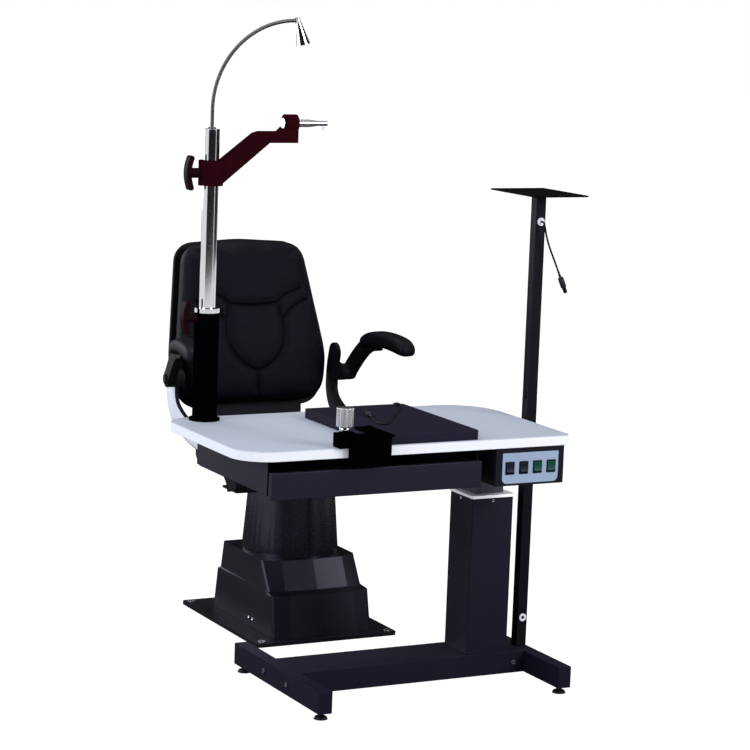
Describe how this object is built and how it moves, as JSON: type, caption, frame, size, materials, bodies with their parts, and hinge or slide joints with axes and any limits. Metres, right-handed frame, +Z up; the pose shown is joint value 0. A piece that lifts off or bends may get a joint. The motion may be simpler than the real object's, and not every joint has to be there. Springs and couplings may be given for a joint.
{
  "type": "ophthalmic examination unit",
  "caption": "Lifting swivel patient chair beside a height-adjustable instrument table with lamp mast, instrument arm, slide board, drawer and projector post.",
  "frame": {"origin": "on the floor, on the chair's lift and swivel axis, which is the centre of the four anchor holes", "axes": "+X to the seated patient's left, +Y behind the patient, +Z up; the table stands in front, towards -Y"},
  "size_m": [1.007, 1.4179, 1.6855],
  "materials": {
    "dark_steel": "satin",
    "navy_steel": "powder coated",
    "black_powder_steel": "powder coated",
    "plain_steel": "satin",
    "bright_screws": "bright",
    "ground_steel": "ground",
    "motor_casing": "satin",
    "glossy_cover": "gloss",
    "foot_plastic": "matt",
    "white_plastic": "satin",
    "black_tray": "satin",
    "lead_jacket": "matt",
    "plug_plastic": "satin",
    "black_leather": "soft sheen",
    "moulded_black": "satin",
    "arm_pad_black": "satin",
    "white_laminate": "satin",
    "box_black": "powder coated",
    "panel_blue_grey": "satin",
    "rocker_black": "gloss",
    "rocker_green": "gloss",
    "mast_chrome": "polished",
    "neck_steel": "satin",
    "lens_glass": "clear",
    "matt_black_metal": "matt",
    "knob_black": "satin",
    "board_black": "satin"
  },
  "bodies": {
    "base": {"base_plate": "dark_steel", "base_washers": "bright_screws", "base_cover_front": "glossy_cover", "base_cover_rear": "glossy_cover", "cover_screws": "bright_screws", "chair_lift_outer": "dark_steel", "chair_actuator": "motor_casing", "rail_left": "navy_steel", "rail_right": "navy_steel", "cross_beam": "navy_steel", "frame_bolts": "plain_steel", "levelling_feet": "foot_plastic", "column_casing": "navy_steel", "column_cap": "white_plastic", "pole_lower": "black_powder_steel", "pole_upper": "black_powder_steel", "pole_splice": "plain_steel", "pole_grommets": "white_plastic", "tray": "black_tray", "pigtail_lead": "lead_jacket", "pigtail_plug": "plug_plastic"},
    "chair_lift": {"chair_cone": "glossy_cover", "chair_lift_inner": "ground_steel"},
    "seat": {"seat_pan": "dark_steel", "seat_cushion": "black_leather", "back_bracket": "dark_steel", "back_shell": "moulded_black", "back_cushion": "black_leather", "arm_bracket_right": "black_powder_steel", "arm_bracket_left": "black_powder_steel"},
    "arm_right": {"arm_link_right": "moulded_black", "arm_pad_right": "arm_pad_black"},
    "arm_left": {"arm_link_left": "moulded_black", "arm_pad_left": "arm_pad_black"},
    "table": {"column_inner": "plain_steel", "table_top": "white_laminate", "drawer_housing": "navy_steel", "control_box": "box_black", "switch_panel": "panel_blue_grey", "post": "matt_black_metal", "post_collar": "mast_chrome"},
    "mast": {"mast_tube": "mast_chrome"},
    "lamp": {"lamp_neck": "neck_steel", "lamp_head": "mast_chrome", "lamp_lens": "lens_glass"},
    "arm": {"instrument_arm": "matt_black_metal", "instrument_pin": "mast_chrome"},
    "arm_knob": {"arm_knob": "knob_black"},
    "mast_knob": {"mast_knob": "knob_black"},
    "board": {"slide_board": "board_black", "edge_clamp": "matt_black_metal", "board_lead": "lead_jacket", "board_plug": "plug_plastic"},
    "clamp_knob": {"clamp_knob": "mast_chrome"},
    "drawer": {"drawer_box": "plain_steel", "drawer_front": "navy_steel"},
    "rocker_1": {"rocker_1": "rocker_black"},
    "rocker_2": {"rocker_2": "rocker_black"},
    "rocker_3": {"rocker_3": "rocker_green"},
    "rocker_4": {"rocker_4": "rocker_green"}
  },
  "joints": [
    {"name": "chair_lift", "type": "slide", "parent": "base", "child": "chair_lift", "axis": [0, 0, 1], "range_m": [0, 0.18]},
    {"name": "seat_swivel", "type": "hinge", "parent": "chair_lift", "child": "seat", "pos_m": [0, 0, 0.4], "axis": [0, 0, 1], "range_deg": [-170, 170]},
    {"name": "arm_right_flip", "type": "hinge", "parent": "seat", "child": "arm_right", "pos_m": [-0.257, 0.219, 0.66], "axis": [-0.9903, 0.1392, 0], "range_deg": [0, 90]},
    {"name": "arm_left_flip", "type": "hinge", "parent": "seat", "child": "arm_left", "pos_m": [0.257, 0.219, 0.66], "axis": [-0.9903, -0.1392, 0], "range_deg": [0, 90]},
    {"name": "table_lift", "type": "slide", "parent": "base", "child": "table", "axis": [0, 0, 1], "range_m": [0, 0.2]},
    {"name": "drawer_slide", "type": "slide", "parent": "table", "child": "drawer", "axis": [0, -1, 0], "range_m": [0, 0.28]},
    {"name": "mast_slide", "type": "slide", "parent": "table", "child": "mast", "axis": [0, 0, 1], "range_m": [0, 0.15]},
    {"name": "lamp_swivel", "type": "hinge", "parent": "mast", "child": "lamp", "pos_m": [-0.497, -0.512, 1.4], "axis": [0, 0, 1], "range_deg": [-150, 150]},
    {"name": "arm_swing", "type": "hinge", "parent": "mast", "child": "arm", "pos_m": [-0.497, -0.512, 1.299], "axis": [0, 0, 1], "range_deg": [-90, 45]},
    {"name": "arm_knob_turn", "type": "hinge", "parent": "arm", "child": "arm_knob", "pos_m": [-0.528, -0.512, 1.299], "axis": [1, 0, 0], "range_deg": [-90, 90]},
    {"name": "mast_knob_turn", "type": "hinge", "parent": "table", "child": "mast_knob", "pos_m": [-0.528, -0.512, 0.939], "axis": [1, 0, 0], "range_deg": [-90, 90]},
    {"name": "board_slide", "type": "slide", "parent": "table", "child": "board", "axis": [1, 0, 0], "range_m": [-0.1, 0.2]},
    {"name": "clamp_knob_turn", "type": "hinge", "parent": "board", "child": "clamp_knob", "pos_m": [-0.325, -0.952, 0.712], "axis": [0, 0, 1], "range_deg": [-180, 180]},
    {"name": "rocker_1_tilt", "type": "hinge", "parent": "table", "child": "rocker_1", "pos_m": [0.1349, -0.951, 0.604], "axis": [1, 0, 0], "range_deg": [0, 16]},
    {"name": "rocker_2_tilt", "type": "hinge", "parent": "table", "child": "rocker_2", "pos_m": [0.1743, -0.951, 0.604], "axis": [1, 0, 0], "range_deg": [0, 16]},
    {"name": "rocker_3_tilt", "type": "hinge", "parent": "table", "child": "rocker_3", "pos_m": [0.2137, -0.951, 0.604], "axis": [1, 0, 0], "range_deg": [0, 16]},
    {"name": "rocker_4_tilt", "type": "hinge", "parent": "table", "child": "rocker_4", "pos_m": [0.2531, -0.951, 0.604], "axis": [1, 0, 0], "range_deg": [0, 16]}
  ]
}
